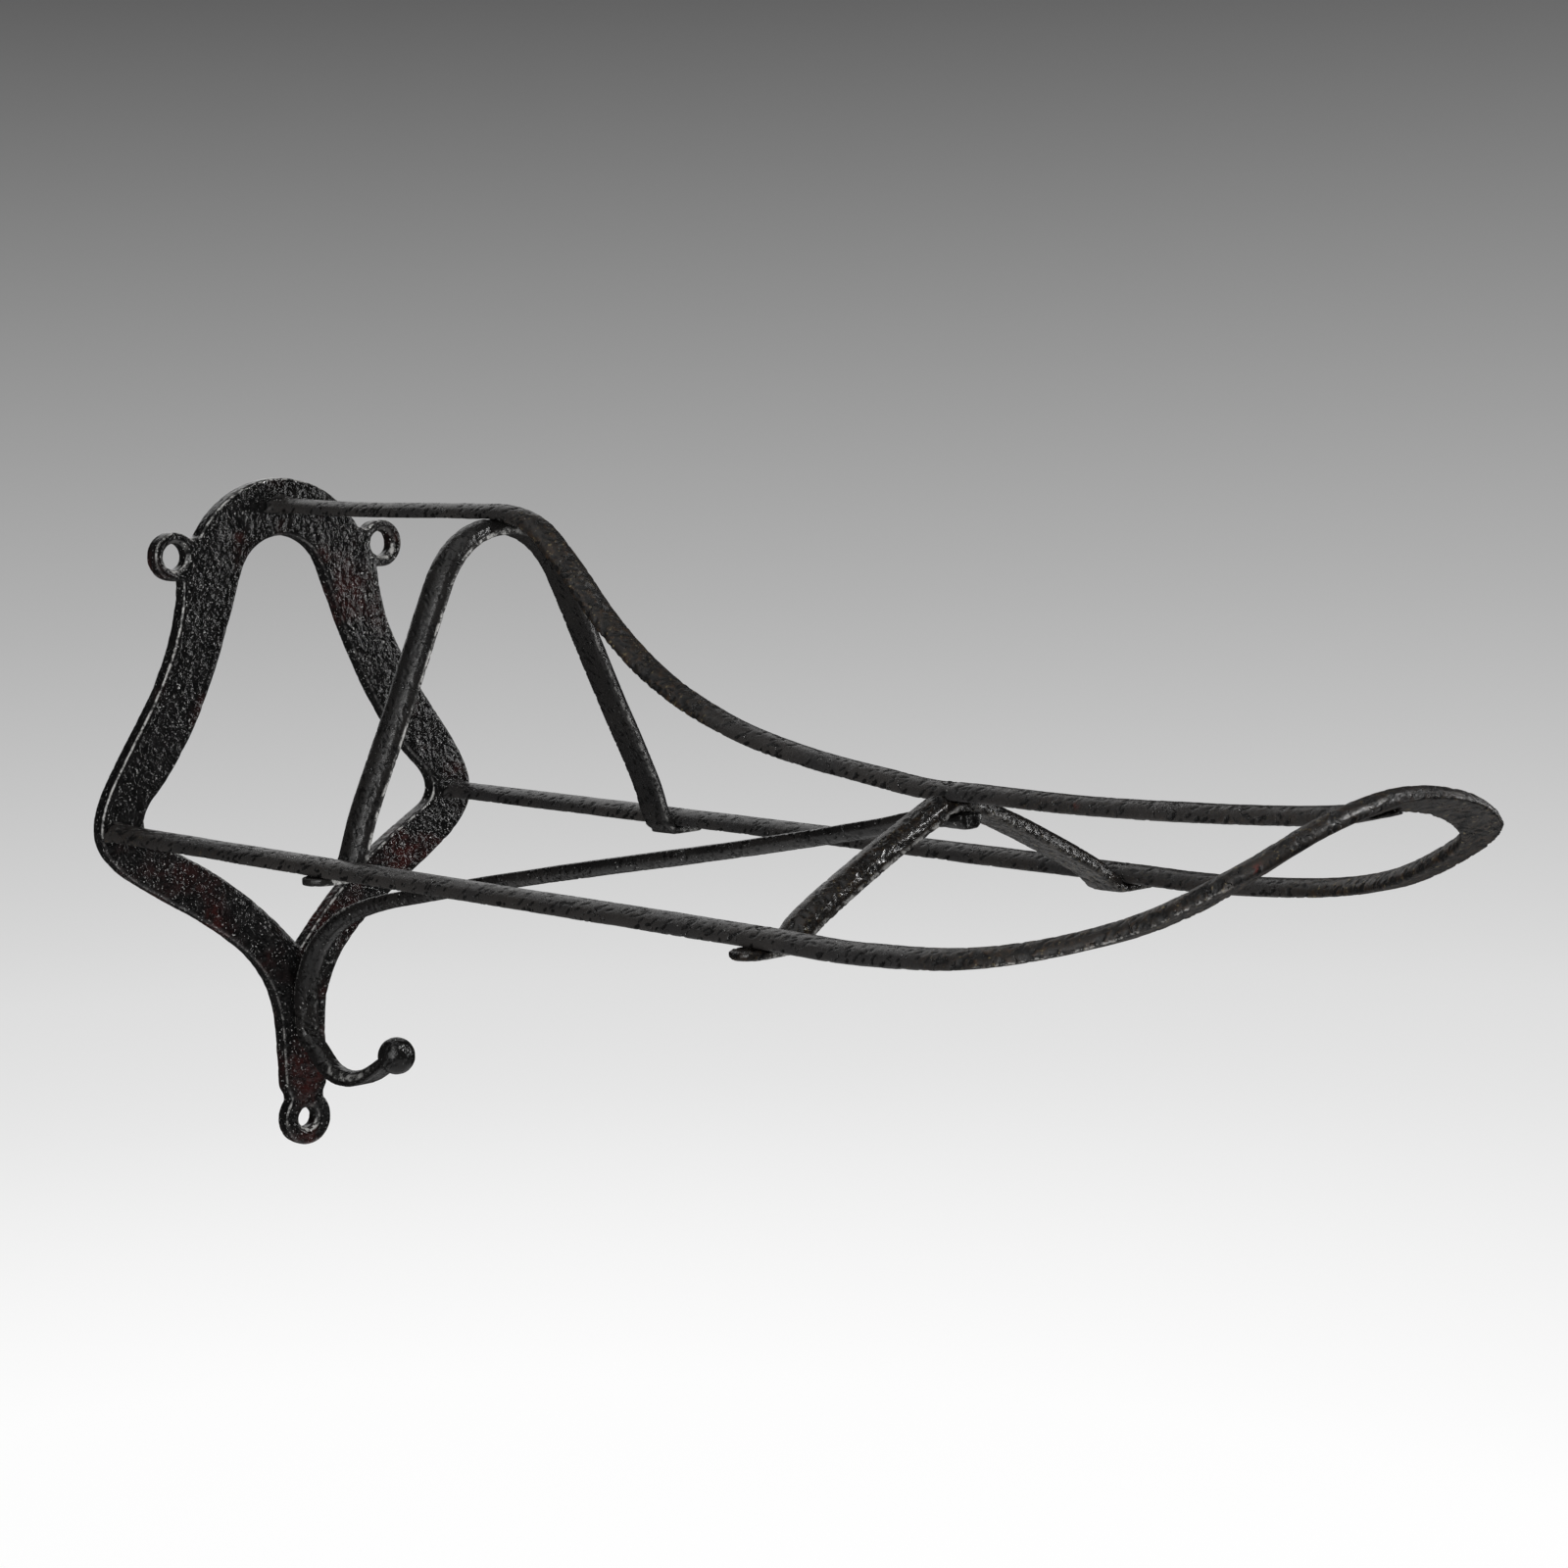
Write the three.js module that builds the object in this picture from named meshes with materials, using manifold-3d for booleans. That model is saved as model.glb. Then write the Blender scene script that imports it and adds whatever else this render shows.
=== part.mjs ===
// Wall-mounted saddle rack, forged from half-round iron bar and riveted together.
// Millimetres. +Z is up and +X is across. The wall is the plane y = 0 and the rack reaches out along -Y.
// The origin is on the back of the wall plate, in the middle of its stem.
import * as THREE from 'three';
import { mergeVertices } from 'three/addons/utils/BufferGeometryUtils.js';
import Module from 'manifold-3d';

// Driving dimensions
const plateThickness = 7.5;
const crownHeight = 233; // top of the wall plate
const shoulderHeight = 90; // where the plate is widest
const shoulderHalfWidth = 96.7;
const openingTopHeight = 208.6;
const earHeight = 202.3;
const earHalfSpacing = 53.5;
const lugHeight = -46.5;
const railHalfSpacing = 90;
const railHeight = 89.8;
const railDroop = 5; // how far the side rails sag before the nose turns up
const spineHeight = 220;
const seatHeight = 124.8; // the low, level part of the spine
const noseHeight = 135;
const noseDistance = 594.5; // wall to the centre line of the nose
const pommelDistance = 157;
const rearDistance = 404;
const fitGap = 0.3; // between pieces that touch
const rivetRadius = 2.2;
const tenonRadius = 3.6;
const tabThickness = 3;
const archLap = 4; // thickness of the rear arch where it lies between the spine and the brace
const braceLap = 5.5; // thickness of the brace's flattened end

// Half-round bars: width of the flat side, and thickness
const railBar = { width: 14.6, thickness: 6.4 };
const spineBar = { width: 13, thickness: 6 };
const pommelBar = { width: 15, thickness: 7 };
const rearBar = { width: 15, thickness: 7 };
const braceBar = { width: 11, thickness: 6.5 };

const across = new THREE.Vector3(1, 0, 0);
const outward = new THREE.Vector3(0, -1, 0);
const up = new THREE.Vector3(0, 0, 1);
const at = (x, y, z) => new THREE.Vector3(x, y, z);

const wasm = await Module();
wasm.setup();

// Booleans: a geometry becomes a manifold solid, is cut or joined, and becomes a geometry again.
function solidFrom(geometry) {
  geometry.deleteAttribute('normal');
  geometry.deleteAttribute('uv');
  const welded = mergeVertices(geometry, 1e-4);
  return new wasm.Manifold(new wasm.Mesh({
    numProp: 3,
    vertProperties: welded.getAttribute('position').array,
    triVerts: new Uint32Array(welded.index.array),
  }));
}

function geometryFrom(solid) {
  const mesh = solid.getMesh();
  const geometry = new THREE.BufferGeometry();
  geometry.setAttribute('position', new THREE.BufferAttribute(mesh.vertProperties, 3));
  geometry.setIndex(new THREE.BufferAttribute(mesh.triVerts, 1));
  geometry.computeVertexNormals();
  return geometry;
}

function box(xRange, yRange, zRange) {
  const size = [xRange, yRange, zRange].map(([low, high]) => high - low);
  const geometry = new THREE.BoxGeometry(...size);
  geometry.translate(xRange[0] + size[0] / 2, yRange[0] + size[1] / 2, zRange[0] + size[2] / 2);
  return solidFrom(geometry);
}

function pin(radius, start, end, sides = 20) {
  const axis = new THREE.Vector3().subVectors(end, start);
  const geometry = new THREE.CylinderGeometry(radius, radius, axis.length(), sides);
  const turn = new THREE.Quaternion().setFromUnitVectors(new THREE.Vector3(0, 1, 0), axis.clone().normalize());
  geometry.applyQuaternion(turn);
  geometry.translate(...start.clone().addScaledVector(axis, 0.5));
  return solidFrom(geometry);
}

// A bar's centre line. crownAt says which way the rounded side of the bar faces.
class BarLine extends THREE.CatmullRomCurve3 {
  constructor(points, crownAt) {
    super(points, false, 'centripetal');
    this.crownAt = crownAt;
  }

  computeFrenetFrames(segments) {
    const frames = { tangents: [], normals: [], binormals: [] };
    for (let step = 0; step <= segments; step += 1) {
      const tangent = this.getTangentAt(step / segments);
      const crown = this.crownAt(tangent, this.getPointAt(step / segments)).normalize();
      frames.tangents.push(tangent);
      frames.normals.push(new THREE.Vector3().crossVectors(crown, tangent));
      frames.binormals.push(crown);
    }
    return frames;
  }
}

const crownUp = (tangent) => up.clone().addScaledVector(tangent, -up.dot(tangent));
const crownOverArch = (tangent) => new THREE.Vector3().crossVectors(outward, tangent);
const crownUnder = (tangent) => new THREE.Vector3().crossVectors(across, tangent);

function halfRound({ width, thickness }) {
  const half = width / 2;
  const flat = -thickness / 2;
  const edge = 1;
  const shape = new THREE.Shape();
  shape.moveTo(edge / 2 - half, flat);
  shape.lineTo(half - edge / 2, flat);
  shape.lineTo(half, flat + edge);
  shape.absellipse(0, flat + edge, half, thickness - edge, 0, Math.PI);
  shape.closePath();
  return shape;
}

// The space that a bar needs among its neighbours
const loosened = ({ width, thickness }) => ({ width: width + 2 * fitGap, thickness: thickness + 2 * fitGap });

function bar(section, line, spacing) {
  const steps = Math.ceil(line.getLength() / spacing);
  const geometry = new THREE.ExtrudeGeometry(halfRound(section), {
    extrudePath: line,
    steps,
    curveSegments: 5,
  });
  return solidFrom(geometry);
}

// Points of a planar line, given as [distance from the wall, height]
const inMiddle = (points) => points.map(([distance, height]) => new THREE.Vector3(0, -distance, height));

// The right-hand half of a symmetric line, given from the centre outwards, becomes the whole line.
function bothSides(rightHalf) {
  const leftHalf = rightHalf.slice(1).reverse().map((point) => point.clone().multiply(new THREE.Vector3(-1, 1, 1)));
  return [...leftHalf, ...rightHalf];
}

// Wall plate
function plateOutline() {
  const half = new THREE.Path();
  const crownRadius = 48.3;
  const earRadius = 10.3;
  const lugRadius = 11.8;
  const stemHalfWidth = 10.6;
  half.absarc(0, crownHeight - crownRadius, crownRadius, Math.PI / 2, 0.55, true);
  half.absarc(earHalfSpacing, earHeight, earRadius, 2.4, -1.9, true);
  half.bezierCurveTo(51.5, 146, 97, 114, shoulderHalfWidth, shoulderHeight);
  half.bezierCurveTo(shoulderHalfWidth, 77, 84, 68.7, 66, 57.7);
  half.bezierCurveTo(34, 38.2, 11.8, 24, 11.2, -6);
  half.lineTo(stemHalfWidth, -32);
  half.lineTo(8.5, -35.5);
  half.absarc(0, lugHeight, lugRadius, 0.77, -Math.PI / 2, true);
  return half.getPoints(14);
}

function openingOutline() {
  const half = new THREE.Path();
  const topRadius = 22.5;
  half.absarc(0, openingTopHeight - topRadius, topRadius, Math.PI / 2, 0.33, true);
  half.bezierCurveTo(34.5, 155.6, 47, 125.8, 68, 104.5);
  half.bezierCurveTo(77.5, 96, 78.5, 88.5, 70, 83.4);
  half.bezierCurveTo(38, 66, 22, 54, 0, 29.5);
  return half.getPoints(14);
}

// The right-hand half of an outline, from its top to its bottom, becomes a closed loop.
function mirrored(half) {
  const inner = half.filter((point) => point.x > 0.01);
  const onAxis = half.filter((point) => point.x <= 0.01);
  const left = inner.slice().reverse().map((point) => new THREE.Vector2(-point.x, point.y));
  return [onAxis[0], ...inner, onAxis[onAxis.length - 1], ...left];
}

// Screw holes: place, and radius. Each is countersunk from the front.
const screwHoles = [
  [-earHalfSpacing, earHeight, 5.6],
  [earHalfSpacing, earHeight, 5.6],
  [0, lugHeight, 4.4],
];

function countersink(x, z, radius) {
  const depth = 2;
  const proud = 0.2;
  const geometry = new THREE.CylinderGeometry(radius, radius + depth, depth, 32);
  geometry.translate(x, depth / 2 - plateThickness - proud, z);
  return solidFrom(geometry);
}

function wallPlate() {
  const edgeRound = 0.8;
  const outline = new THREE.Shape(mirrored(plateOutline()));
  outline.holes.push(new THREE.Path(mirrored(openingOutline()).reverse()));
  for (const [x, z, radius] of screwHoles) {
    outline.holes.push(new THREE.Path().absarc(x, z, radius, 0, 2 * Math.PI));
  }
  const geometry = new THREE.ExtrudeGeometry(outline, {
    depth: plateThickness - 2 * edgeRound,
    bevelThickness: edgeRound,
    bevelSize: edgeRound,
    bevelOffset: -edgeRound,
    bevelSegments: 1,
    curveSegments: 12,
  });
  geometry.rotateX(Math.PI / 2);
  geometry.translate(0, -edgeRound, 0);
  let plate = solidFrom(geometry);
  for (const [x, z, radius] of screwHoles) {
    plate = plate.subtract(countersink(x, z, radius));
  }
  for (const [x, z] of tenonPlaces) {
    plate = plate.subtract(pin(tenonRadius + fitGap, at(x, 1, z), at(x, -plateThickness - 1, z)));
  }
  return plate.subtract(stemRivetHoles());
}

// Bars that end in a tenon: the tenon passes through the plate and is peened flush with its back.
const railRootHalfSpacing = 88.5;
const spineRootHeight = spineHeight + 1.8;
const tenonPlaces = [
  [-railRootHalfSpacing, railHeight],
  [railRootHalfSpacing, railHeight],
  [0, spineRootHeight],
];
const barRoot = plateThickness + fitGap;

function tenon(x, z) {
  const bite = 6;
  return pin(tenonRadius, at(x, -0.2, z), at(x, -barRoot - bite, z), 16);
}

// Rivets: short pins, hammered flush. Each has its own clearance hole in the bars that it joins.
const rivetHole = (start, end) => pin(rivetRadius + fitGap, start, end);
const upright = (x, distance, low, high) => [at(x, -distance, low), at(x, -distance, high)];

// Height of the rails' centre line at the distance where an arch crosses them
const railHeightAt = (distance) => railHeight - (railDroop * distance) / 450;
const railUnderside = (distance) => railHeightAt(distance) - railBar.thickness / 2;
const railTop = (distance) => railHeightAt(distance) + railBar.thickness / 2;

// Where the spine crosses an arch, both are flattened and the arch lies under the spine.
const spineUnderside = (height) => height - spineBar.thickness / 2;
const pommelSeat = spineUnderside(spineHeight) - fitGap;
const rearSeat = spineUnderside(seatHeight) - fitGap;
const braceSeat = rearSeat - archLap - fitGap;
const flushDepth = 0.2; // a rivet's end lies this much below the crown of its bar

const stemRivetSpacing = 14;
const stemRivets = [-stemRivetSpacing / 2, stemRivetSpacing / 2].map((height) => [
  at(0, -0.2, height),
  at(0, -plateThickness - fitGap - braceBar.thickness + 0.1, height),
]);
const noseRivet = upright(0, noseDistance - 3, noseHeight - 5.2, noseHeight + 1.8);
const footRivets = (distance) => [-railHalfSpacing, railHalfSpacing].map((x) => upright(
  x,
  distance,
  railUnderside(distance) - fitGap - tabThickness + flushDepth,
  railTop(distance) - flushDepth,
));
const pommelFootRivets = footRivets(pommelDistance);
const rearFootRivets = footRivets(rearDistance);
const spineTop = (height) => height + spineBar.thickness / 2;
const pommelApexRivet = upright(
  0,
  pommelDistance,
  pommelSeat - pommelBar.thickness + 1 + flushDepth,
  spineTop(spineHeight) - flushDepth,
);
const rearApexRivet = upright(
  0,
  rearDistance,
  braceSeat - braceLap + flushDepth,
  spineTop(seatHeight) - flushDepth,
);

// A hole runs past both ends of its rivet.
function holeFor([start, end]) {
  const past = new THREE.Vector3().subVectors(end, start).setLength(4);
  return rivetHole(start.clone().sub(past), end.clone().add(past));
}

const stemRivetHoles = () => stemRivets.map(holeFor).reduce((first, second) => first.add(second));

// Side rails and nose, one bar bent into a loop
function loopLine() {
  const noseTilt = 0.4;
  const noseStart = 480;
  const tiltLength = 100;
  const crown = (tangent, point) => {
    const alongNose = THREE.MathUtils.clamp((-point.y - noseStart) / tiltLength, 0, 1);
    const guide = new THREE.Vector3(0, noseTilt * alongNose, 1);
    return guide.addScaledVector(tangent, -guide.dot(tangent));
  };
  return new BarLine(bothSides([
    at(0, -noseDistance, noseHeight),
    at(35, -noseDistance + 2.2, noseHeight - 5.5),
    at(60, -noseDistance + 12.2, noseHeight - 17.5),
    at(71, -noseDistance + 45, railHeight + 10.4),
    at(88.5, -noseDistance + 88, railHeight - 0.8),
    at(railHalfSpacing + 0.5, -452, railHeight - railDroop),
    at(railHalfSpacing, -rearDistance, railHeightAt(rearDistance)),
    at(railHalfSpacing, -pommelDistance, railHeightAt(pommelDistance)),
    at(railRootHalfSpacing, -barRoot, railHeight),
  ]), crown);
}

function sideRailLoop() {
  let loop = bar(railBar, loopLine(), 8);
  for (const side of [-1, 1]) {
    loop = loop.add(tenon(side * railRootHalfSpacing, railHeight));
  }
  for (const rivet of [...pommelFootRivets, ...rearFootRivets, noseRivet]) {
    loop = loop.subtract(holeFor(rivet));
  }
  return loop;
}

const railSpace = bar(loosened(railBar), loopLine(), 8);

// Spine: level over the pommel arch, swoops down, then level to the nose
function spineLine() {
  return new BarLine(inMiddle([
    [barRoot, spineRootHeight],
    [60, spineHeight + 0.2],
    [pommelDistance - 14, spineHeight],
    [pommelDistance + 8, spineHeight - 0.6],
    [182, 214.7],
    [200, 200.4],
    [222, 179.2],
    [245, 162],
    [267, 150.6],
    [298, 139.8],
    [330, 133],
    [370, 127.6],
    [rearDistance - 9, seatHeight],
    [rearDistance + 9, seatHeight],
    [465, 124],
    [530, 125.6],
    [noseDistance - 25, 128],
    [noseDistance - 11, 130],
    [noseDistance + 5, 134],
  ]), crownUp);
}

function spine() {
  const end = noseDistance - 5.5;
  const roundEnd = pin(spineBar.width / 2, at(0, -end, seatHeight - 20), at(0, -end, noseHeight), 32);
  const beforeEnd = box([-10, 10], [-end, 0], [seatHeight - 20, spineRootHeight + 20]);
  return bar(spineBar, spineLine(), 6)
    .intersect(roundEnd.add(beforeEnd))
    .subtract(railSpace)
    .subtract(box([-10, 10], [-end - 10, -end + 10], [noseHeight, noseHeight + 10]))
    .add(tenon(0, spineRootHeight))
    .subtract(holeFor(pommelApexRivet))
    .subtract(holeFor(rearApexRivet))
    .subtract(holeFor(noseRivet));
}

const spineSpace = bar(loosened(spineBar), spineLine(), 6);

// A foot of an arch: a flattened tab with a round end, lapped under the rail.
function tab(side, distance, reach, width) {
  const bottom = railUnderside(distance) - fitGap - tabThickness;
  const inner = railHalfSpacing - 9;
  const half = width / 2;
  const shape = new THREE.Shape();
  shape.moveTo(inner, -half);
  shape.lineTo(reach - half, -half);
  shape.absarc(reach - half, 0, half, -Math.PI / 2, Math.PI / 2);
  shape.lineTo(inner, half);
  shape.closePath();
  const geometry = new THREE.ExtrudeGeometry(shape, {
    depth: tabThickness,
    bevelEnabled: false,
    curveSegments: 8,
  });
  if (side < 0) {
    geometry.rotateZ(Math.PI);
  }
  geometry.translate(0, -distance, bottom);
  return solidFrom(geometry);
}

// An arch stands in the plane y = -distance. Its legs are cut away under the rails and under the spine.
function arch({ section, distance, rightHalf, reach, rivets }) {
  const tabBottom = railUnderside(distance) - fitGap - tabThickness;
  const line = new BarLine(bothSides(rightHalf), crownOverArch);
  let body = bar(section, line, 6);
  for (const side of [-1, 1]) {
    body = body.add(tab(side, distance, reach, section.width));
  }
  body = body.subtract(railSpace).subtract(spineSpace);
  for (const rivet of rivets) {
    body = body.subtract(holeFor(rivet));
  }
  return body.subtract(box([-120, 120], [-distance - 20, -distance + 20], [tabBottom - 20, tabBottom]));
}

// Pommel arch: tall and bell-shaped
function pommelArch() {
  const tabCentre = railUnderside(pommelDistance) - fitGap - tabThickness / 2;
  const apex = pommelSeat + 1 - pommelBar.thickness / 2;
  return arch({
    section: pommelBar,
    distance: pommelDistance,
    rightHalf: [
      at(0, -pommelDistance, apex),
      at(11, -pommelDistance, apex - 1.4),
      at(21.5, -pommelDistance, apex - 7),
      at(29.5, -pommelDistance, apex - 16),
      at(35.7, -pommelDistance, apex - 28.3),
      at(54, -pommelDistance, apex - 68),
      at(74.8, -pommelDistance, tabCentre + 19.8),
      at(78, -pommelDistance, tabCentre + 10),
      at(81, -pommelDistance, tabCentre + 3.2),
      at(85, -pommelDistance, tabCentre + 0.5),
    ],
    reach: railHalfSpacing + 10.5,
    rivets: [...pommelFootRivets, pommelApexRivet],
  });
}

// Rear arch: straight legs, carrying the low part of the spine
function rearArch() {
  const tabCentre = railUnderside(rearDistance) - fitGap - tabThickness / 2;
  const apex = rearSeat - archLap + rearBar.thickness / 2;
  const braceSpace = box([-8, 8], [-rearDistance - 20, -rearDistance + 20], [braceSeat - 10, braceSeat + fitGap]);
  return arch({
    section: rearBar,
    distance: rearDistance,
    rightHalf: [
      at(0, -rearDistance, apex),
      at(6, -rearDistance, apex - 0.4),
      at(13, -rearDistance, apex - 3.5),
      at(38, -rearDistance, apex - 14.5),
      at(75, -rearDistance, tabCentre + 7),
      at(79.5, -rearDistance, tabCentre + 3),
      at(85, -rearDistance, tabCentre + 1),
    ],
    reach: railHalfSpacing + 14,
    rivets: [...rearFootRivets, rearApexRivet],
  }).subtract(braceSpace);
}

// Brace and bridle hook, one bar: ball end, hook, stem, then the long sweep to the rear arch
function braceWithHook() {
  const ballRadius = 8;
  const ballCentre = at(0, -73.5, -10.6);
  const stemLine = plateThickness + fitGap + braceBar.thickness / 2;
  const endHeight = braceSeat - braceBar.thickness / 2;
  const line = inMiddle([
    [69, -12.4],
    [61.5, -17],
    [50, -22.6],
    [38, -24.4],
    [27, -22],
    [18.4, -15],
    [stemLine + 0.4, -8.5],
    [stemLine, -2],
    [stemLine, 8],
    [stemLine + 1.6, 15],
    [stemLine + 7, 26],
    [stemLine + 17, 36.2],
    [43, 45.5],
    [62, 52.5],
    [100, 60.8],
    [190, 77.5],
    [290, 94.5],
    [370, 109.2],
    [rearDistance - 11, endHeight],
    [rearDistance + 10, endHeight],
  ]);
  const ball = new THREE.SphereGeometry(ballRadius, 18, 12);
  ball.translate(...ballCentre);
  const end = [-rearDistance - 20, -rearDistance + 9];
  const belowEnd = box([-10, 10], end, [braceSeat - braceLap - 10, braceSeat - braceLap]);
  const aboveEnd = box([-10, 10], end, [braceSeat, braceSeat + 10]);
  return bar(braceBar, new BarLine(line, crownUnder), 5.5)
    .add(solidFrom(ball))
    .subtract(belowEnd)
    .subtract(aboveEnd)
    .subtract(holeFor(rearApexRivet))
    .subtract(stemRivetHoles());
}

// Assembly
const plateFinish = new THREE.MeshStandardMaterial({ color: '#1d1a1a', roughness: 0.3, metalness: 0.4 });
const barFinish = new THREE.MeshStandardMaterial({ color: '#242222', roughness: 0.5, metalness: 0.4 });
const rivetFinish = new THREE.MeshStandardMaterial({ color: '#2a2625', roughness: 0.55, metalness: 0.5 });

const rack = new THREE.Group();

function addPiece(name, solid, finish) {
  const mesh = new THREE.Mesh(geometryFrom(solid), finish);
  mesh.name = name;
  rack.add(mesh);
}

addPiece('wall_plate', wallPlate(), plateFinish);
addPiece('side_rail_loop', sideRailLoop(), barFinish);
addPiece('spine_bar', spine(), barFinish);
addPiece('pommel_arch', pommelArch(), barFinish);
addPiece('rear_arch', rearArch(), barFinish);
addPiece('brace_with_hook', braceWithHook(), barFinish);

const rivets = {
  rivet_stem_lower: stemRivets[0],
  rivet_stem_upper: stemRivets[1],
  rivet_pommel_foot_left: pommelFootRivets[0],
  rivet_pommel_foot_right: pommelFootRivets[1],
  rivet_pommel_apex: pommelApexRivet,
  rivet_rear_foot_left: rearFootRivets[0],
  rivet_rear_foot_right: rearFootRivets[1],
  rivet_rear_apex: rearApexRivet,
  rivet_nose: noseRivet,
};
for (const [name, ends] of Object.entries(rivets)) {
  addPiece(name, pin(rivetRadius, ...ends), rivetFinish);
}

export default rack;
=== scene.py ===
"""Saddle rack, forged iron under old black paint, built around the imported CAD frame. Metres."""
import math

import bpy
import numpy as np
from mathutils import Matrix, Vector, kdtree


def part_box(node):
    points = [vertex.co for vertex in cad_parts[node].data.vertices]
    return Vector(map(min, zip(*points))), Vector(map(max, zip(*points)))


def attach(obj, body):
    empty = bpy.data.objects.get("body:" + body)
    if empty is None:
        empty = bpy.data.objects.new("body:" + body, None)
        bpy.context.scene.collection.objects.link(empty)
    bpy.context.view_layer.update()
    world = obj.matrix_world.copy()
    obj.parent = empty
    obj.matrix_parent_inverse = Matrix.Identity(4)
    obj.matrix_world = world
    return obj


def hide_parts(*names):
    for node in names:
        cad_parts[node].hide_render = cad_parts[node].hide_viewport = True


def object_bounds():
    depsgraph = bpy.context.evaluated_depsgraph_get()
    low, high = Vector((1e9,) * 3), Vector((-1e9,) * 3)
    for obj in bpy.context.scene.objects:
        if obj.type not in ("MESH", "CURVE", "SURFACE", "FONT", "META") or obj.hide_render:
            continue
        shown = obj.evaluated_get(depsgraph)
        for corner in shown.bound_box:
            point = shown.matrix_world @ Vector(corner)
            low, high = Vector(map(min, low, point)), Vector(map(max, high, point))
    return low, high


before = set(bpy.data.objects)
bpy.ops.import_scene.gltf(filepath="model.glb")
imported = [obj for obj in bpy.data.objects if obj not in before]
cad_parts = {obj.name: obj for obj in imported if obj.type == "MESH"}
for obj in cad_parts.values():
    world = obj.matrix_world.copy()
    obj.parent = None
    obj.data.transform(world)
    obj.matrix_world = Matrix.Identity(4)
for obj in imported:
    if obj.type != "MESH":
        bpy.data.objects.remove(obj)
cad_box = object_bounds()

MM = 0.001
RIVETS = tuple(name for name in sorted(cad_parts) if name.startswith("rivet_"))
PLATE_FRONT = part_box("wall_plate")[0][1] / MM  # Y of the plate's front face, in millimetres


# Noise on points, in millimetres. Each gives the same result on every run.

LOW_32_BITS = 0xFFFFFFFF
LOW_24_BITS = 0xFFFFFF
PLACE_FACTORS = np.array((374761393, 668265263, 2147483647))
SEED_FACTOR = 144665
SCRAMBLES = ((13, 1274126177), (16, 2246822519))  # bits to shift by, and what to multiply by
LAST_SHIFT = 15


def lattice_random(cells, seed):
    """A number from 0 to 1 for each whole-numbered cell, scrambled from its place and the seed."""
    mixed = (cells.astype(np.int64) @ PLACE_FACTORS + seed * SEED_FACTOR) & LOW_32_BITS
    for shift, factor in SCRAMBLES:
        mixed = ((mixed ^ (mixed >> shift)) * factor) & LOW_32_BITS
    return ((mixed ^ (mixed >> LAST_SHIFT)) & LOW_24_BITS) / LOW_24_BITS


def smooth_noise(points, size, seed):
    """Values from -1 to 1 that change over about size."""
    scaled = points / size
    cell = np.floor(scaled)
    part = scaled - cell
    part = part * part * (3 - 2 * part)
    total = np.zeros(len(points))
    for step in np.ndindex(2, 2, 2):
        weight = np.prod(np.where(step, part, 1 - part), axis=1)
        total += weight * lattice_random(cell + step, seed)
    return 2 * total - 1


def layered_noise(points, size, seed, layers):
    """Smooth noise with finer and fainter layers added."""
    total = sum(smooth_noise(points, size / 2**n, seed + n) / 2**n for n in range(layers))
    return total / sum(0.5**n for n in range(layers))


def dents(points, size, seed, share, radius):
    """How deep each point lies in scattered round dents, from 0 to 1.

    Size is the width of a cell, share the part of the cells that hold a dent, and radius the widest
    dent's, in cells.
    """
    scaled = points / size
    home = np.floor(scaled)
    deepest = np.zeros(len(points))
    for step in np.ndindex(3, 3, 3):
        cell = home + step - 1
        centre = cell + np.stack([lattice_random(cell, seed + n) for n in range(3)], axis=1)
        reach = radius * (0.5 + 0.5 * lattice_random(cell, seed + 3))
        reach = reach * (lattice_random(cell, seed + 4) < share)
        away = np.linalg.norm(scaled - centre, axis=1) / np.maximum(reach, 1e-6)
        deepest = np.maximum(deepest, np.clip(1 - away**2, 0, 1) * (reach > 0))
    return deepest


def ramp(values, low, high):
    """0 before low and 1 after high, with a smooth change between."""
    part = np.clip((values - low) / (high - low), 0, 1)
    return part * part * (3 - 2 * part)


def grain(points, normals, cell=18):
    """The bar's own direction at each point: the one that the normals nearby have least of."""
    cells, home = np.unique(np.floor(points / cell).astype(int), axis=0, return_inverse=True)
    spread = np.zeros((len(cells), 3, 3))
    np.add.at(spread, home.ravel(), normals[:, :, None] * normals[:, None, :])
    return np.linalg.eigh(spread)[1][:, :, 0][home.ravel()]


STROKE_SLANT = (38, 16)  # to the bar's direction, in degrees: the mean and the spread
SHORTEST_STROKE = 0.35  # as a part of the longest


def strokes(points, normals, points_each, length, width, seed):
    """How deep each point lies in scattered long pits that lie aslant the bar, from 0 to 1.

    There is one pit for every points_each points of the mesh.
    """
    tree = kdtree.KDTree(len(points))
    for index, point in enumerate(points):
        tree.insert(point, index)
    tree.balance()
    along = grain(points, normals)
    random = np.random.default_rng(seed)
    starts = random.choice(len(points), len(points) // points_each, replace=False)
    slants = np.radians(random.normal(*STROKE_SLANT, len(starts)))
    sizes = random.uniform(SHORTEST_STROKE, 1, len(starts))
    deepest = np.zeros(len(points))
    for start, slant, size in zip(starts, slants, sizes):
        beside = np.cross(normals[start], along[start])
        lengthwise = math.cos(slant) * along[start] + math.sin(slant) * beside
        sideways = np.cross(normals[start], lengthwise)
        half_length = length / 2 * size
        near = np.array([index for _, index, _ in tree.find_range(points[start], half_length)])
        offset = points[near] - points[start]
        out = (offset @ lengthwise / half_length)**2 + (offset @ sideways / (width / 2))**2
        deepest[near] = np.maximum(deepest[near], np.clip(1 - out, 0, 1) * (0.5 + 0.5 * size))
    return deepest


# Forged surfaces

WELD_DISTANCE = 0.001 * MM
BAR_VOXEL = 0.62 * MM
RIVET_VOXEL = 0.3 * MM


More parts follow.
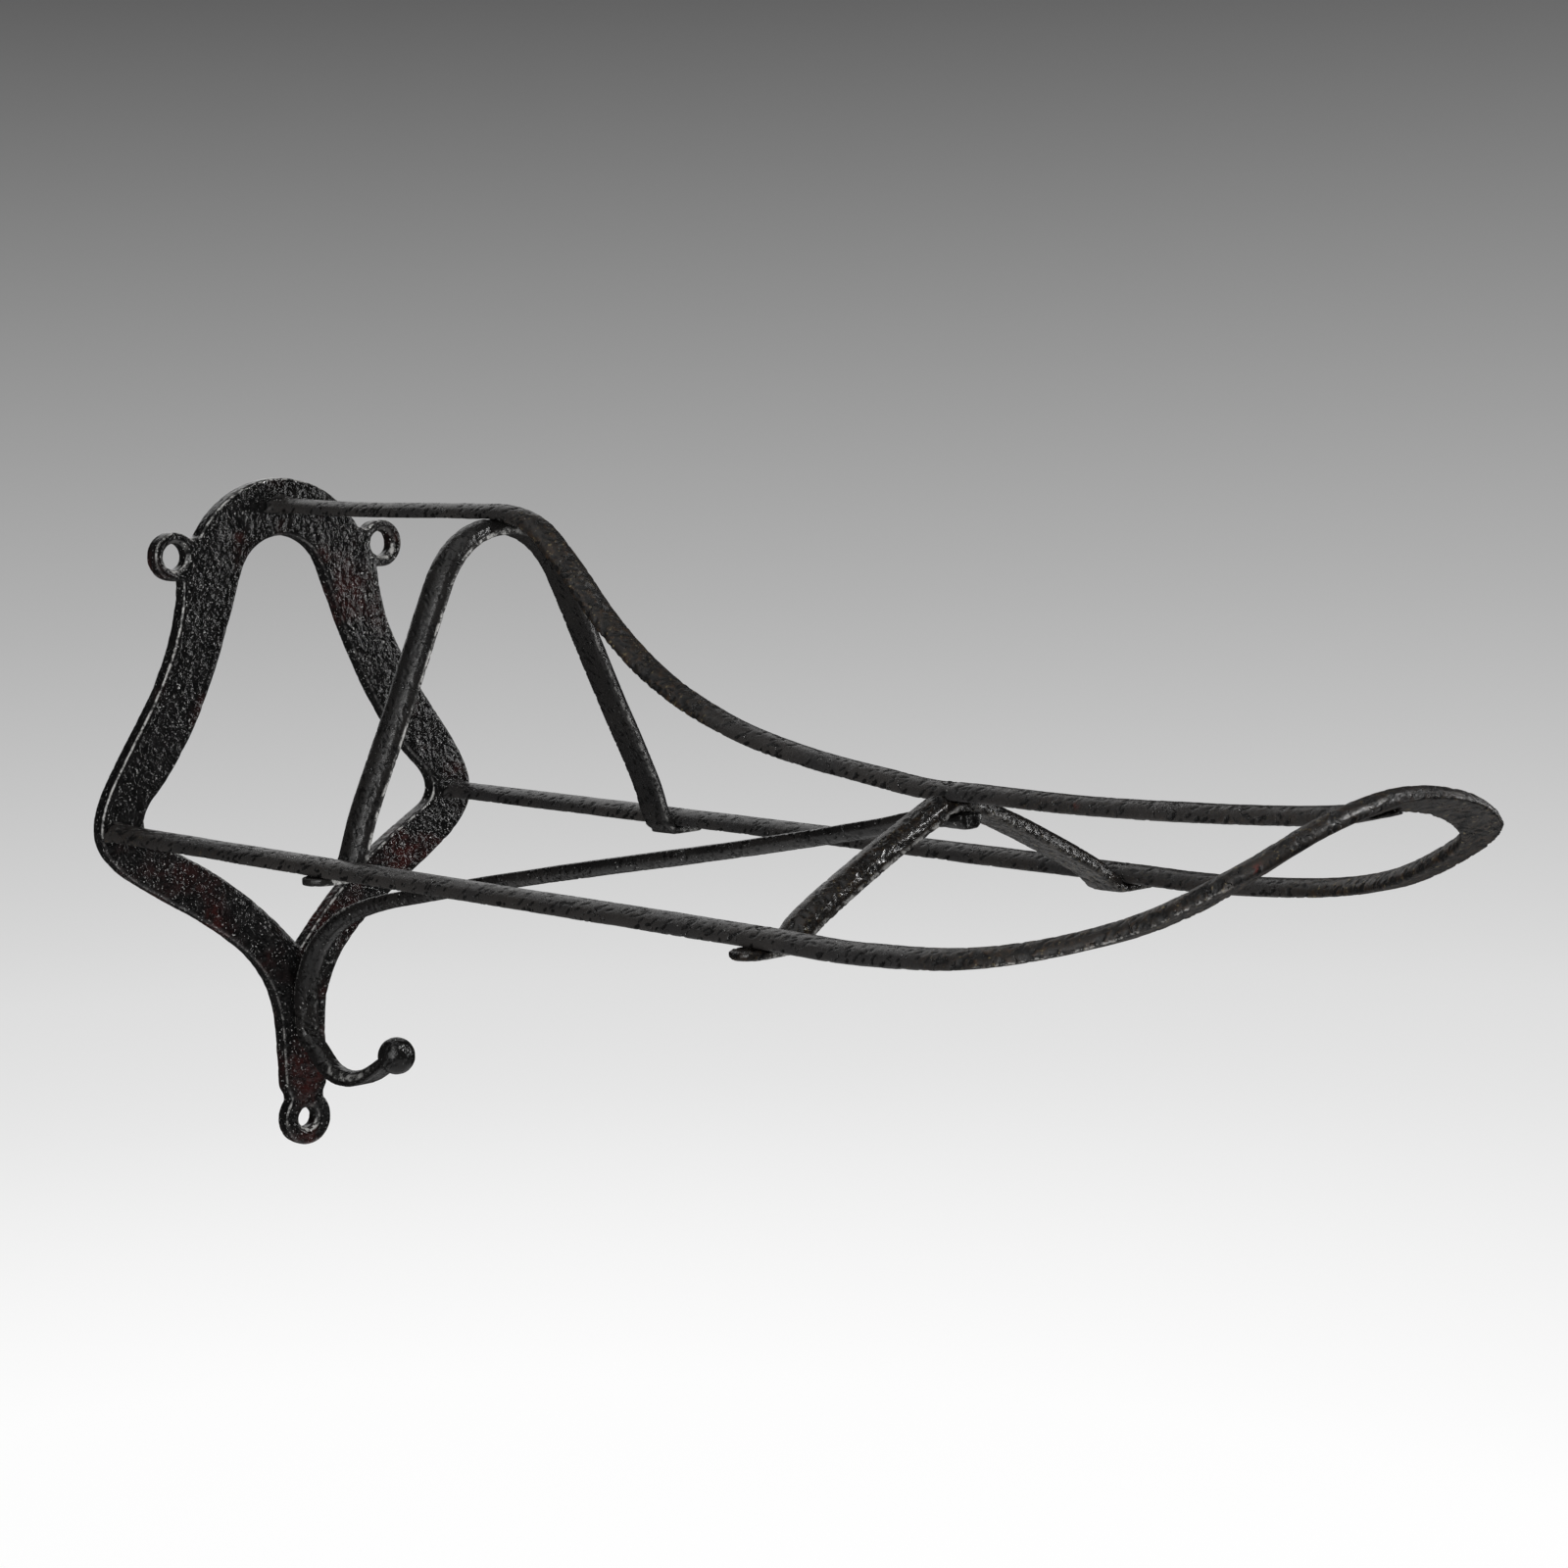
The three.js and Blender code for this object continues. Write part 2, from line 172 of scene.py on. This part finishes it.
def remeshed(node, voxel, rounds):
    """An even, fine mesh of a CAD node, with its edges worn round."""
    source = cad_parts[node]
    draft = bpy.data.objects.new(node + "_draft", source.data.copy())
    bpy.context.scene.collection.objects.link(draft)
    draft.modifiers.new("Weld", "WELD").merge_threshold = WELD_DISTANCE
    remesh = draft.modifiers.new("Remesh", "REMESH")
    remesh.mode = "VOXEL"
    remesh.voxel_size = voxel
    smooth = draft.modifiers.new("Smooth", "SMOOTH")
    smooth.factor = 0.5
    smooth.iterations = rounds
    graph = bpy.context.evaluated_depsgraph_get()
    mesh = bpy.data.meshes.new_from_object(draft.evaluated_get(graph))
    bpy.data.objects.remove(draft)
    return mesh


def read_vectors(items, name):
    """Three numbers for each of a mesh's vertices or normals, as rows."""
    values = np.zeros(len(items) * 3, np.float32)
    items.foreach_get(name, values)
    return values.reshape(-1, 3).astype(float)


def store(mesh, name, values):
    """Keeps a number for each vertex, which the material reads by its name."""
    layer = mesh.attributes.new(name, "FLOAT", "POINT")
    layer.data.foreach_set("value", values.astype(np.float32))


# Painted highlights: bare-iron colour on the corners between crown and flat, where the highlight lines
# fall. Each strength is a share of the full one.
CORNER_FADE = 0.15
ARCH_HIGHLIGHT = {"pommel_arch": 1, "rear_arch": 0.5}
RIGHT_SIDE_HIGHLIGHT = 0.3  # of the highlight on an arch's left side
BRACE_HIGHLIGHT = 0.6
NOSE_HIGHLIGHT = 0.55
PLATE_LEAST_HIGHLIGHT = 0.12  # on the corners that face down


def lean_band(leaning, low, high):
    """0 up to low, 1 from low + CORNER_FADE to high, and 0 again from high + CORNER_FADE."""
    return ramp(leaning, low, low + CORNER_FADE) * ramp(-leaning, -high - CORNER_FADE, -high)


def highlight_edges(node, points, normals):
    """Where a painted highlight of bare-iron colour lies on the corner between a bar's crown and its
    flat, from 0 to 1.
    """
    reach = -points[:, 1]
    # Painted highlight lines on the arches' corners that face the front, strongest on the left legs
    if node in ARCH_HIGHLIGHT:
        inward = -0.9 * np.sign(points[:, 0]) * normals[:, 0] - 0.44 * normals[:, 2]
        side = np.where(points[:, 0] < 0, 1, RIGHT_SIDE_HIGHLIGHT)
        facing_front = ramp(-normals[:, 1], 0.6, 0.8)
        return ARCH_HIGHLIGHT[node] * side * lean_band(inward, -0.2, 0.4) * facing_front
    if node == "brace_with_hook":
        to_flat = normals[:, 1] + normals[:, 2]
        sideways = ramp(np.abs(normals[:, 0]), 0.4, 0.6)
        by_the_wall = ramp(-reach, -70, -45)
        return BRACE_HIGHLIGHT * lean_band(to_flat, 0.25, 0.8) * sideways * by_the_wall
    if node == "side_rail_loop":
        facing_front = ramp(-normals[:, 1], 0.1, 0.4)
        on_nose = ramp(reach, 490, 520) * ramp(-reach, -592, -575)
        return NOSE_HIGHLIGHT * lean_band(-normals[:, 2], 0.05, 0.6) * facing_front * on_nose
    return np.zeros(len(points))


# Stretches that rust has eaten most, as distances from the wall in millimetres
EATEN = {"side_rail_loop": (470, 620), "spine_bar": (160, 300), "rear_arch": (380, 430)}
EATEN_FADE = 40
RUST_ELSEWHERE = 0.25

# How deep or high the marks of making and rust are, in millimetres
BAR_SWELL = 0.14
BAR_SKIN = 0.07
PIT_DEPTH = 0.36
CRUMB_DEPTH = 0.3
HAMMER_DEPTH = 0.2
PEEL_DEPTH = 0.1
LUMP_DEPTH = 0.2
PLATE_RAISE = 0.1


def bar_relief(node, points, normals):
    """Depth below a hammered bar's nominal surface, or height above it where it is negative.

    With it comes how pitted and rusted the bar is, and where its corners get a painted highlight.
    """
    rusted = RUST_ELSEWHERE * ramp(layered_noise(points, size=60, seed=11, layers=2), 0.05, 0.5)
    if node in EATEN:
        reach = -points[:, 1]
        first, last = EATEN[node]
        eaten = ramp(reach, first, first + EATEN_FADE) * ramp(-reach, -last, EATEN_FADE - last)
        rusted = np.maximum(rusted, eaten)
    swell = BAR_SWELL * layered_noise(points, size=21, seed=5, layers=2)
    skin = BAR_SKIN * layered_noise(points, size=2.6, seed=17, layers=2)
    pits = strokes(points, normals, points_each=55, length=4.5, width=1.3, seed=23)
    crumbs = ramp(layered_noise(points, size=2.2, seed=31, layers=2), 0.0, 0.5) * rusted
    pitted = np.clip(pits + 0.5 * crumbs, 0, 1)
    marks = {"pitted": pitted, "rusted": rusted, "worn": highlight_edges(node, points, normals)}
    return swell + skin + PIT_DEPTH * pits + CRUMB_DEPTH * crumbs, marks


def plate_relief(node, points, normals):
    """The same for the hammered plate, whose front corners get a painted highlight, strongest on the
    corners that face up.
    """
    hammered = HAMMER_DEPTH * dents(points, size=13, seed=41, share=0.9, radius=0.75)
    peel = PEEL_DEPTH * layered_noise(points, size=2.9, seed=47, layers=2)
    pitted = dents(points, size=3.1, seed=53, share=0.6, radius=0.55)
    rusted = ramp(layered_noise(points, size=22, seed=61, layers=3), -0.08, 0.40)
    # Painted highlight on the plate's front corners, strongest where they face up
    facing_up = ramp(normals[:, 2], -0.15, 0.2)
    highlight_share = PLATE_LEAST_HIGHLIGHT + (1 - PLATE_LEAST_HIGHLIGHT) * facing_up
    marks = {"pitted": pitted, "rusted": rusted, "worn": lean_band(-normals[:, 1], 0.4, 0.75) * highlight_share}
    return hammered + peel + LUMP_DEPTH * pitted - PLATE_RAISE, marks


# Where bars meet the plate, in millimetres
SEAT_LENGTH = 4.5
SEAT_DEPTH = 0.7
ROOT_SPACING = 60  # less than the distance between two roots
ROOT_SPREAD = 0.34  # as a part of the root's own width


def seat(node, points):
    """Presses a bar onto the front of the plate, and spreads the roots of those that go through it."""
    in_front = points[:, 1] < PLATE_FRONT
    near = np.clip(1 - (PLATE_FRONT - points[:, 1]) / SEAT_LENGTH, 0, 1) * in_front
    if node in ("side_rail_loop", "spine_bar"):
        side = np.round(points[:, 0] / ROOT_SPACING)
        for root in np.unique(side[near > 0]):
            here = (near > 0) & (side == root)
            out = (points[here] - points[here].mean(axis=0)) * (1, 0, 1)
            points[here] += out * (ROOT_SPREAD * near[here]**2)[:, None]
    points[:, 1] += SEAT_DEPTH * near


# Rivet ends, in millimetres. A fall is how much an end drops away per square millimetre.
PEEN_LENGTH = 1.4
PEEN_SPREAD = 0.4  # as a part of the rivet's own width
PEEN_RISE = 0.25
STEM_CROWN_FALL = 0.1
BAR_CROWN_FALL = 0.06
FLAT_FALL = 0.02


def peen(node, points):
    """Spreads and rounds the ends of a rivet, so that they fill their holes."""
    low, high = points.min(axis=0), points.max(axis=0)
    axis = int(np.argmax(high - low))
    around = [other for other in range(3) if other != axis]
    middle = (low + high) / 2
    along = points[:, axis] - middle[axis]
    end = np.clip(1 - ((high - low)[axis] / 2 - np.abs(along)) / PEEN_LENGTH, 0, 1)
    points[:, around] += (points[:, around] - middle[around]) * (PEEN_SPREAD * end)[:, None]
    away = np.sum((points[:, around] - middle[around])**2, axis=1)
    through_stem = axis == 1
    on_crown = (along < 0) if through_stem else (along > 0)
    fall = np.where(on_crown, STEM_CROWN_FALL if through_stem else BAR_CROWN_FALL, FLAT_FALL)
    points[:, axis] += np.sign(along) * end * (PEEN_RISE - fall * away)


def make_piece(node, voxel, rounds, relief, shape, material):
    """The visual piece for a CAD node, given its relief and then, where there is one, its shape."""
    mesh = remeshed(node, voxel, rounds)
    points = read_vectors(mesh.vertices, "co") / MM
    normals = read_vectors(mesh.vertex_normals, "vector")
    depth, marks = relief(node, points, normals)
    points -= normals * depth[:, None]
    if shape is not None:
        shape(node, points)
    mesh.vertices.foreach_set("co", (points * MM).ravel())
    for name, values in marks.items():
        store(mesh, name, values)
    mesh.shade_smooth()
    mesh.materials.clear()
    mesh.materials.append(material)
    piece = bpy.data.objects.new(node + "_iron", mesh)
    bpy.context.scene.collection.objects.link(piece)
    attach(piece, "root")
    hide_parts(node)


# Materials

# The Mix node's colour sockets, which share their names with its other sockets
FIRST_COLOUR = 6
SECOND_COLOUR = 7
MIXED_COLOUR = 2

PAINT_IOR = 1.5


class Nodes:
    """Short calls for building one material's node tree."""

    def __init__(self, name):
        self.material = bpy.data.materials.new(name)
        self.material.use_nodes = True
        self.tree = self.material.node_tree
        self.shader = self.tree.nodes["Principled BSDF"]
        self.place = self.tree.nodes.new("ShaderNodeTexCoord").outputs["Object"]

    def link(self, output, socket):
        """Joins an output to the socket that reads it."""
        self.tree.links.new(output, socket)

    def noise(self, size, detail, roughness=0.6):
        """Noise from 0 to 1 whose features are about size across, in metres."""
        node = self.tree.nodes.new("ShaderNodeTexNoise")
        node.inputs["Scale"].default_value = 1 / size
        node.inputs["Detail"].default_value = detail
        node.inputs["Roughness"].default_value = roughness
        self.link(self.place, node.inputs["Vector"])
        return node.outputs["Fac"]

    def between(self, value, start, end, low=0.0, high=1.0):
        """Low until value reaches start and high once it passes end, with a smooth change between."""
        node = self.tree.nodes.new("ShaderNodeMapRange")
        node.interpolation_type = "SMOOTHSTEP"
        ranges = {"From Min": start, "From Max": end, "To Min": low, "To Max": high}
        for name, number in ranges.items():
            node.inputs[name].default_value = number
        self.link(value, node.inputs["Value"])
        return node.outputs["Result"]

    def combine(self, operation, first, second):
        """Does sums with numbers or sockets. All but an addition are held from 0 to 1."""
        node = self.tree.nodes.new("ShaderNodeMath")
        node.operation = operation
        node.use_clamp = operation != "ADD"
        for value, socket in ((first, node.inputs[0]), (second, node.inputs[1])):
            if isinstance(value, (int, float)):
                socket.default_value = value
            else:
                self.link(value, socket)
        return node.outputs["Value"]

    def blend(self, share, first, second):
        """Mixes two colours, by a share of the second. Each is three numbers or a socket."""
        node = self.tree.nodes.new("ShaderNodeMix")
        node.data_type = "RGBA"
        self.link(share, node.inputs["Factor"])
        for value, number in ((first, FIRST_COLOUR), (second, SECOND_COLOUR)):
            if isinstance(value, tuple):
                node.inputs[number].default_value = (*value, 1)
            else:
                self.link(value, node.inputs[number])
        return node.outputs[MIXED_COLOUR]

    def attribute(self, name):
        """What store kept on the mesh under this name."""
        node = self.tree.nodes.new("ShaderNodeAttribute")
        node.attribute_name = name
        return node.outputs["Fac"]

    def flecks(self, size, start, end):
        """Small spots for painted glints: 1 where they gather in clouds, fainter between, and 0 off a
        spot.
        """
        spots = self.between(self.noise(size, 2), start, end)
        clouds = self.between(self.noise(0.03, 2), 0.42, 0.58, low=0.35)
        return self.combine("MULTIPLY", spots, clouds)

    def creases(self, size, width):
        """Short thin crooked lines: 1 on a line and 0 off it."""
        field = self.noise(size, 2, 0.55)
        rise = self.between(field, 0.5 - width, 0.5)
        fall = self.between(field, 0.5, 0.5 + width, low=1, high=0)
        line = self.combine("MULTIPLY", rise, fall)
        return self.combine("MULTIPLY", line, self.between(self.noise(0.009, 2), 0.50, 0.56))

    def bump(self, height, depth, strength, before=None):
        """A normal bent by a height, on top of the bump before it if there is one."""
        node = self.tree.nodes.new("ShaderNodeBump")
        node.inputs["Distance"].default_value = depth
        node.inputs["Strength"].default_value = strength
        self.link(height, node.inputs["Height"])
        if before is not None:
            self.link(before, node.inputs["Normal"])
        return node.outputs["Normal"]

    def painted(self, colour, roughness, normal):
        """The finished material, with these three linked to its shader."""
        inputs = self.shader.inputs
        for output, name in ((colour, "Base Color"), (roughness, "Roughness"), (normal, "Normal")):
            self.link(output, inputs[name])
        inputs["IOR"].default_value = PAINT_IOR
        return self.material


# Colours, as linear red, green and blue
# Painted highlight colour: bare iron, laid on the corners that highlight_edges marks
BARE_IRON_HIGHLIGHT = (0.46, 0.455, 0.44)
PLATE_BLACK = (0.003, 0.003, 0.003)
PLATE_THIN_BLACK = (0.009, 0.0085, 0.0085)
PLATE_RED = (0.025, 0.0062, 0.0054)
# Painted glints: pale flecks on the black paint
PLATE_GLINT_FLECK = (0.42, 0.42, 0.41)
BAR_GLINT_FLECK = (0.30, 0.30, 0.29)
RUSTED_BLACK = (0.0105, 0.0080, 0.0062)
RUST_BROWN = (0.030, 0.0175, 0.0095)
RUST_OLIVE = (0.11, 0.088, 0.046)
RUST_RED = (0.12, 0.012, 0.010)
PIT_BLACK = (0.002, 0.0018, 0.0018)
CREASE_BLACK = (0.0015, 0.0015, 0.0015)


def plate_material():
    """Gloss black over coarse orange peel, with dark red showing through in patches, painted glints as
    pale flecks and a painted highlight of bare iron on the front corners.
    """
    nodes = Nodes("plate_black_paint")
    pitted, rusted = nodes.attribute("pitted"), nodes.attribute("rusted")
    speckle = nodes.noise(0.0030, 4, 0.65)
    grit = nodes.noise(0.0011, 3, 0.7)
    colour = nodes.blend(nodes.between(speckle, 0.4, 0.65), PLATE_BLACK, PLATE_THIN_BLACK)
    red = nodes.combine("MULTIPLY", rusted, nodes.between(speckle, 0.42, 0.6, low=0.2))
    colour = nodes.blend(red, colour, PLATE_RED)
    # Painted glints: pale flecks
    colour = nodes.blend(nodes.flecks(0.0010, 0.65, 0.70), colour, PLATE_GLINT_FLECK)
    # Painted highlight: bare iron on the marked corners, broken up by speckle
    broken = nodes.between(speckle, 0.45, 0.57, low=0.05)
    highlighted = nodes.combine("MULTIPLY", nodes.attribute("worn"), broken)
    colour = nodes.blend(highlighted, colour, BARE_IRON_HIGHLIGHT)
    rough = nodes.combine("ADD", grit, nodes.combine("MULTIPLY", pitted, 0.3))
    rough = nodes.between(rough, 0.4, 0.95, low=0.06, high=0.24)
    normal = nodes.bump(nodes.noise(0.0026, 2, 0.5), 0.6 * MM, 0.85)
    normal = nodes.bump(grit, 0.25 * MM, 0.6, normal)
    return nodes.painted(colour, rough, normal)


def bar_material(name, paint, thin_paint, roughness, fleck):
    """Black paint over iron: darker in the pits, and brown, olive and red where rust has eaten it. Pale
    flecks are painted glints, and bare iron on the marked corners is a painted highlight.

    Roughness is a lowest and a highest value. The higher fleck is, the fewer painted glints show.
    """
    nodes = Nodes(name)
    pitted, rusted = nodes.attribute("pitted"), nodes.attribute("rusted")
    cloud = nodes.noise(0.04, 3)
    speckle = nodes.noise(0.0034, 5, 0.7)
    grit = nodes.noise(0.0010, 3, 0.7)
    colour = nodes.blend(nodes.between(cloud, 0.35, 0.65), paint, thin_paint)
    colour = nodes.blend(rusted, colour, RUSTED_BLACK)
    brown = nodes.combine("MULTIPLY", rusted, nodes.between(speckle, 0.48, 0.62))
    colour = nodes.blend(brown, colour, RUST_BROWN)
    olive_spots = nodes.between(nodes.noise(0.0019, 3), 0.62, 0.66)
    colour = nodes.blend(nodes.combine("MULTIPLY", rusted, olive_spots), colour, RUST_OLIVE)
    red_spots = nodes.between(nodes.noise(0.017, 2), 0.68, 0.72)
    colour = nodes.blend(nodes.combine("MULTIPLY", red_spots, brown), colour, RUST_RED)
    colour = nodes.blend(nodes.between(pitted, 0.04, 0.35, high=0.97), colour, PIT_BLACK)
    creases = nodes.creases(0.006, 0.022)
    colour = nodes.blend(creases, colour, CREASE_BLACK)
    # Painted glints: pale flecks
    colour = nodes.blend(nodes.flecks(0.0013, fleck, fleck + 0.05), colour, BAR_GLINT_FLECK)
    # Painted highlight: bare iron on the marked corners, broken up by speckle
    broken = nodes.between(speckle, 0.46, 0.58, low=0.05)
    highlighted = nodes.combine("MULTIPLY", nodes.attribute("worn"), broken)
    colour = nodes.blend(highlighted, colour, BARE_IRON_HIGHLIGHT)
    rough = nodes.combine("ADD", grit, nodes.combine("MULTIPLY", pitted, 0.3))
    rough = nodes.combine("ADD", rough, nodes.combine("MULTIPLY", rusted, 0.25))
    rough = nodes.between(rough, 0.35, 0.9, *roughness)
    normal = nodes.bump(nodes.noise(0.0034, 3, 0.55), 0.4 * MM, 0.55)
    normal = nodes.bump(grit, 0.2 * MM, 0.5, normal)
    normal = nodes.bump(nodes.combine("SUBTRACT", 1, creases), 0.4 * MM, 0.8, normal)
    return nodes.painted(colour, rough, normal)


# Pieces

PLATE_ROUNDS = 4
BAR_ROUNDS = 5
RIVET_ROUNDS = 3

plate_paint = plate_material()
satin_paint = bar_material("satin_black_paint", paint=(0.022, 0.0213, 0.0216),
                           thin_paint=(0.030, 0.0275, 0.026), roughness=(0.26, 0.52), fleck=0.74)
pommel_paint = bar_material("pommel_black_paint", paint=(0.009, 0.0086, 0.0087),
                            thin_paint=(0.014, 0.0130, 0.0124), roughness=(0.24, 0.50), fleck=0.74)
gloss_paint = bar_material("gloss_black_paint", paint=(0.006, 0.0057, 0.0057),
                           thin_paint=(0.012, 0.011, 0.0105), roughness=(0.13, 0.36), fleck=0.68)
bar_paints = {
    "side_rail_loop": satin_paint,
    "spine_bar": satin_paint,
    "pommel_arch": pommel_paint,
    "rear_arch": gloss_paint,
    "brace_with_hook": gloss_paint,
}

make_piece("wall_plate", BAR_VOXEL, PLATE_ROUNDS, plate_relief, None, plate_paint)
for bar, bar_paint in bar_paints.items():
    make_piece(bar, BAR_VOXEL, BAR_ROUNDS, bar_relief, seat, bar_paint)
for rivet in RIVETS:
    make_piece(rivet, RIVET_VOXEL, RIVET_ROUNDS, bar_relief, peen, gloss_paint)


# Studio

def direction(azimuth, elevation):
    """The way out from the rack, from degrees. Azimuth 0 is in front of the plate and 90 is along +X."""
    turned, raised = math.radians(azimuth), math.radians(elevation)
    level = math.cos(raised)
    return Vector((math.sin(turned) * level, -math.cos(turned) * level, math.sin(raised)))


def camera(place, azimuth, elevation, roll, lens):
    turned, rolled = math.radians(azimuth), math.radians(roll)
    back = direction(azimuth, elevation)
    right = Vector((math.cos(turned), math.sin(turned), 0))
    top = back.cross(right)
    rolled_right = right * math.cos(rolled) + top * math.sin(rolled)
    rolled_top = top * math.cos(rolled) - right * math.sin(rolled)
    data = bpy.data.cameras.new("camera")
    data.lens = lens
    data.sensor_width = 36
    shot = bpy.data.objects.new("camera", data)
    turn = Matrix((rolled_right, rolled_top, back)).transposed()
    shot.matrix_world = Matrix.Translation(place) @ turn.to_4x4()
    bpy.context.scene.collection.objects.link(shot)
    bpy.context.scene.camera = shot


camera(place=(-0.8466, -1.2268, 0.2683), azimuth=-43, elevation=6.753, roll=-1.76, lens=78.36)

# The paper's painted glow, by the share of its fade's length that lies between it and the floor's middle
PAPER_GLOW_GREYS = ((0.0, 0.93), (0.17, 0.92), (0.45, 0.70), (0.66, 0.405), (0.92, 0.075), (1.0, 0.06))
PAPER_FADE = 5
PAPER_BASE = (0.12, 0.12, 0.12, 1)


def paper(floor_height):
    """Pale paper that glows with painted light, brightest in the middle of the floor and fading outwards
    and up the wall.
    """
    nodes = Nodes("pale_paper")
    flattened = nodes.tree.nodes.new("ShaderNodeVectorMath")
    flattened.operation = "MULTIPLY"
    flattened.inputs[1].default_value = (1, 1, 0)
    nodes.link(nodes.place, flattened.inputs[0])
    away = nodes.tree.nodes.new("ShaderNodeVectorMath")
    away.operation = "LENGTH"
    nodes.link(flattened.outputs["Vector"], away.inputs[0])
    split = nodes.tree.nodes.new("ShaderNodeSeparateXYZ")
    nodes.link(nodes.place, split.inputs["Vector"])
    travelled = nodes.combine("ADD", away.outputs["Value"], split.outputs["Z"])
    share = nodes.tree.nodes.new("ShaderNodeMapRange")
    share.inputs["From Min"].default_value = floor_height
    share.inputs["From Max"].default_value = floor_height + PAPER_FADE
    nodes.link(travelled, share.inputs["Value"])
    fade = nodes.tree.nodes.new("ShaderNodeValToRGB")
    stops = fade.color_ramp.elements
    for position, _ in PAPER_GLOW_GREYS[1:-1]:
        stops.new(position)
    for stop, (position, grey) in zip(stops, PAPER_GLOW_GREYS):
        stop.position = position
        stop.color = (grey, grey, grey, 1)
    nodes.link(share.outputs["Result"], fade.inputs["Fac"])
    # The paper's brightness is painted light: emission in a ramp, not a lamp
    nodes.link(fade.outputs["Color"], nodes.shader.inputs["Emission Color"])
    nodes.shader.inputs["Emission Strength"].default_value = 1
    nodes.shader.inputs["Base Color"].default_value = PAPER_BASE
    nodes.shader.inputs["Roughness"].default_value = 1
    return nodes.material


def cyclorama(floor_height, flat, radius, wall_height, around=96, curve_steps=24):
    """A round floor that curves up into a wall on every side. The iron doesn't reflect it."""
    profile = [(0.0, 0.0), (flat, 0.0)]
    for step in range(1, curve_steps + 1):
        angle = math.radians(90 * step / curve_steps)
        profile.append((flat + radius * math.sin(angle), radius * (1 - math.cos(angle))))
    profile.append((flat + radius, wall_height))
    points, faces = [], []
    for away, high in profile:
        for turn in range(around):
            angle = 2 * math.pi * turn / around
            points.append((away * math.cos(angle), away * math.sin(angle), high + floor_height))
    for ring in range(len(profile) - 1):
        for turn in range(around):
            here, after = ring * around + turn, ring * around + (turn + 1) % around
            faces.append((here, after, after + around, here + around))
    mesh = bpy.data.meshes.new("cyclorama")
    mesh.from_pydata(points, [], faces)
    mesh.shade_smooth()
    mesh.materials.append(paper(floor_height))
    ground = bpy.data.objects.new("cyclorama", mesh)
    ground.visible_glossy = False
    bpy.context.scene.collection.objects.link(ground)


cyclorama(floor_height=-0.42, flat=1.8, radius=1.6, wall_height=4.0)

centre = (cad_box[0] + cad_box[1]) / 2


def softbox(name, azimuth, elevation, distance, size, power):
    """An area light that faces the object's centre. Degrees, metres and watts."""
    data = bpy.data.lights.new(name, "AREA")
    data.shape = "RECTANGLE"
    data.size, data.size_y = size
    data.energy = power
    light = bpy.data.objects.new(name, data)
    way = direction(azimuth, elevation)
    light.location = centre + way * distance
    light.rotation_mode = "QUATERNION"
    light.rotation_quaternion = way.to_track_quat("Z", "Y")
    light.visible_camera = False
    bpy.context.scene.collection.objects.link(light)


# Name, azimuth, elevation, distance, size and power
softbox("overhead", -95, 66, 1.5, (1.3, 1.3), 3.4)
softbox("left_fill", -80, 12, 1.6, (1.2, 1.2), 6)
softbox("floor_bounce", 0, -88, 0.45, (1.2, 1.2), 1.6)
softbox("back_fill", 155, 25, 1.6, (1.2, 1.2), 3.6)
softbox("front_glint", 61, 4, 1.33, (0.04, 0.5), 1.9)
softbox("left_strip", -62, 20, 1.3, (0.10, 0.9), 4)
softbox("right_edge", 80, 8, 1.3, (0.05, 0.9), 1.0)
softbox("sparkle", 40, 50, 1.3, (0.07, 0.07), 6)

world = bpy.data.worlds.new("studio")
world.use_nodes = True
background = world.node_tree.nodes["Background"]
background.inputs["Color"].default_value = (1, 1, 1, 1)
background.inputs["Strength"].default_value = 0.02
bpy.context.scene.world = world
bpy.context.scene.view_settings.view_transform = "Standard"
